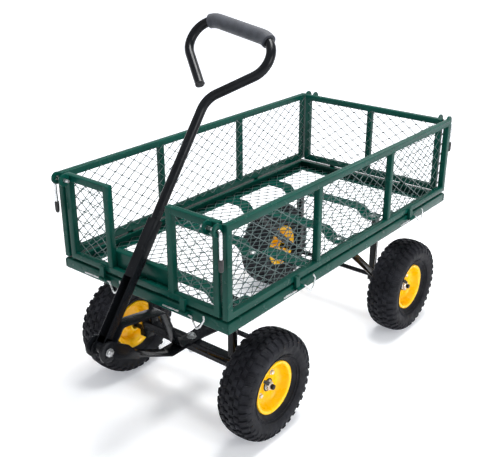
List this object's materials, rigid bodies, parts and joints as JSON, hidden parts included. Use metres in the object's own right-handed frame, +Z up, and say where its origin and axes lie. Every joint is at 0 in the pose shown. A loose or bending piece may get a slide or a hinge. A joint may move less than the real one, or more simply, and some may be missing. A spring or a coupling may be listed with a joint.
{
  "type": "garden cart",
  "caption": "Steel mesh garden cart with pneumatic wheels, knuckle steering, a folding pull handle and drop-down mesh sides held by corner latches.",
  "frame": {"origin": "middle of the whole cart's bounding box, on the floor", "axes": "+Z up, +Y towards the rear along the bed, with the handle and its hitch at -Y; +X towards the right seen from behind the handle's end looking along +Y"},
  "size_m": [0.5412, 1.1372, 0.9142],
  "materials": {
    "green_powder_coat": "dark green gloss powder coat",
    "black_paint": "gloss black paint",
    "yellow_paint": "golden yellow gloss paint",
    "zinc": "bright zinc plate",
    "mesh_wire": "green coated welded wire",
    "tyre_rubber": "matt rubber with a knobby tread",
    "foam": "closed cell foam",
    "vinyl": "soft vinyl dip"
  },
  "bodies": {
    "bed": {"tray_frame": "green_powder_coat", "floor_mesh": "mesh_wire", "floor_slat_front": "green_powder_coat", "floor_slat_middle_front": "green_powder_coat", "floor_slat_middle_rear": "green_powder_coat", "floor_slat_rear": "green_powder_coat", "rear_axle": "black_paint", "rear_post_left": "black_paint", "rear_post_right": "black_paint", "rear_brace_left": "black_paint", "rear_brace_right": "black_paint", "front_axle_support": "black_paint", "kingpin_bolt": "zinc", "front_panel_frame": "green_powder_coat", "front_plate": "green_powder_coat", "front_mesh_left": "mesh_wire", "front_mesh_right": "mesh_wire", "axle_nut_rear_left": "zinc", "axle_nut_rear_right": "zinc", "hinge_clip_left_front": "zinc", "hinge_clip_left_rear": "zinc", "hinge_clip_right_front": "zinc", "hinge_clip_right_rear": "zinc", "hinge_clip_front_left": "zinc", "hinge_clip_front_right": "zinc", "hinge_clip_rear_left": "zinc", "hinge_clip_rear_right": "zinc"},
    "tongue": {"tongue": "black_paint", "tongue_upper_strap": "black_paint", "clevis_bolt": "zinc"},
    "tie_rod": {"tie_rod": "black_paint"},
    "handle": {"hitch_channel": "black_paint", "handle_tube": "black_paint", "grip_foam": "foam"},
    "knuckle_left": {"knuckle_left": "black_paint", "axle_nut_front_left": "zinc"},
    "wheel_front_left": {"tyre_front_left": "tyre_rubber", "rim_front_left": "yellow_paint"},
    "wheel_rear_left": {"tyre_rear_left": "tyre_rubber", "rim_rear_left": "yellow_paint"},
    "side_panel_left": {"side_panel_frame_left": "green_powder_coat", "side_mesh_left": "mesh_wire"},
    "latch_front_left": {"latch_rod_front_left": "zinc", "latch_tip_front_left": "vinyl"},
    "latch_rear_left": {"latch_rod_rear_left": "zinc", "latch_tip_rear_left": "vinyl"},
    "knuckle_right": {"knuckle_right": "black_paint", "axle_nut_front_right": "zinc"},
    "wheel_front_right": {"tyre_front_right": "tyre_rubber", "rim_front_right": "yellow_paint"},
    "wheel_rear_right": {"tyre_rear_right": "tyre_rubber", "rim_rear_right": "yellow_paint"},
    "side_panel_right": {"side_panel_frame_right": "green_powder_coat", "side_mesh_right": "mesh_wire"},
    "latch_front_right": {"latch_rod_front_right": "zinc", "latch_tip_front_right": "vinyl"},
    "latch_rear_right": {"latch_rod_rear_right": "zinc", "latch_tip_rear_right": "vinyl"},
    "rear_panel": {"rear_panel_frame": "green_powder_coat", "rear_mesh": "mesh_wire"}
  },
  "joints": [
    {"name": "steer", "type": "hinge", "parent": "bed", "child": "tongue", "pos_m": [0, -0.2655, 0.1653], "axis": [0, 0, 1], "range_deg": [-13, 13]},
    {"name": "knuckle_left_turn", "type": "hinge", "parent": "bed", "child": "knuckle_left", "pos_m": [-0.155, -0.2655, 0.1325], "axis": [0, 0, 1], "range_deg": [-13, 13]},
    {"name": "knuckle_right_turn", "type": "hinge", "parent": "bed", "child": "knuckle_right", "pos_m": [0.155, -0.2655, 0.1325], "axis": [0, 0, 1], "range_deg": [-13, 13]},
    {"name": "tie_rod_swing", "type": "hinge", "parent": "tongue", "child": "tie_rod", "pos_m": [0, -0.1805, 0.1706], "axis": [0, 0, 1], "range_deg": [-13, 13]},
    {"name": "handle_fold", "type": "hinge", "parent": "tongue", "child": "handle", "pos_m": [0, -0.5445, 0.272], "axis": [1, 0, 0], "range_deg": [0, 135]},
    {"name": "wheel_front_left_spin", "type": "hinge", "parent": "knuckle_left", "child": "wheel_front_left", "pos_m": [-0.227, -0.2655, 0.1325], "axis": [1, 0, 0], "continuous": true},
    {"name": "wheel_front_right_spin", "type": "hinge", "parent": "knuckle_right", "child": "wheel_front_right", "pos_m": [0.227, -0.2655, 0.1325], "axis": [1, 0, 0], "continuous": true},
    {"name": "wheel_rear_left_spin", "type": "hinge", "parent": "bed", "child": "wheel_rear_left", "pos_m": [-0.227, 0.3715, 0.1325], "axis": [1, 0, 0], "continuous": true},
    {"name": "wheel_rear_right_spin", "type": "hinge", "parent": "bed", "child": "wheel_rear_right", "pos_m": [0.227, 0.3715, 0.1325], "axis": [1, 0, 0], "continuous": true},
    {"name": "side_panel_left_fold", "type": "hinge", "parent": "bed", "child": "side_panel_left", "pos_m": [-0.2625, 0.0585, 0.3585], "axis": [0, -1, 0], "range_deg": [0, 150]},
    {"name": "side_panel_right_fold", "type": "hinge", "parent": "bed", "child": "side_panel_right", "pos_m": [0.2625, 0.0585, 0.3585], "axis": [0, 1, 0], "range_deg": [0, 150]},
    {"name": "rear_panel_fold", "type": "hinge", "parent": "bed", "child": "rear_panel", "pos_m": [0, 0.5495, 0.3585], "axis": [-1, 0, 0], "range_deg": [0, 150]},
    {"name": "latch_front_left_slide", "type": "slide", "parent": "side_panel_left", "child": "latch_front_left", "axis": [-1, 0, 0], "range_m": [0, 0.03]},
    {"name": "latch_front_right_slide", "type": "slide", "parent": "side_panel_right", "child": "latch_front_right", "axis": [1, 0, 0], "range_m": [0, 0.03]},
    {"name": "latch_rear_left_slide", "type": "slide", "parent": "side_panel_left", "child": "latch_rear_left", "axis": [-1, 0, 0], "range_m": [0, 0.03]},
    {"name": "latch_rear_right_slide", "type": "slide", "parent": "side_panel_right", "child": "latch_rear_right", "axis": [1, 0, 0], "range_m": [0, 0.03]}
  ],
  "couplings": [
    {"joint": "knuckle_left_turn", "follows": "steer", "ratio": 1},
    {"joint": "knuckle_right_turn", "follows": "steer", "ratio": 1},
    {"joint": "tie_rod_swing", "follows": "steer", "ratio": -1}
  ]
}
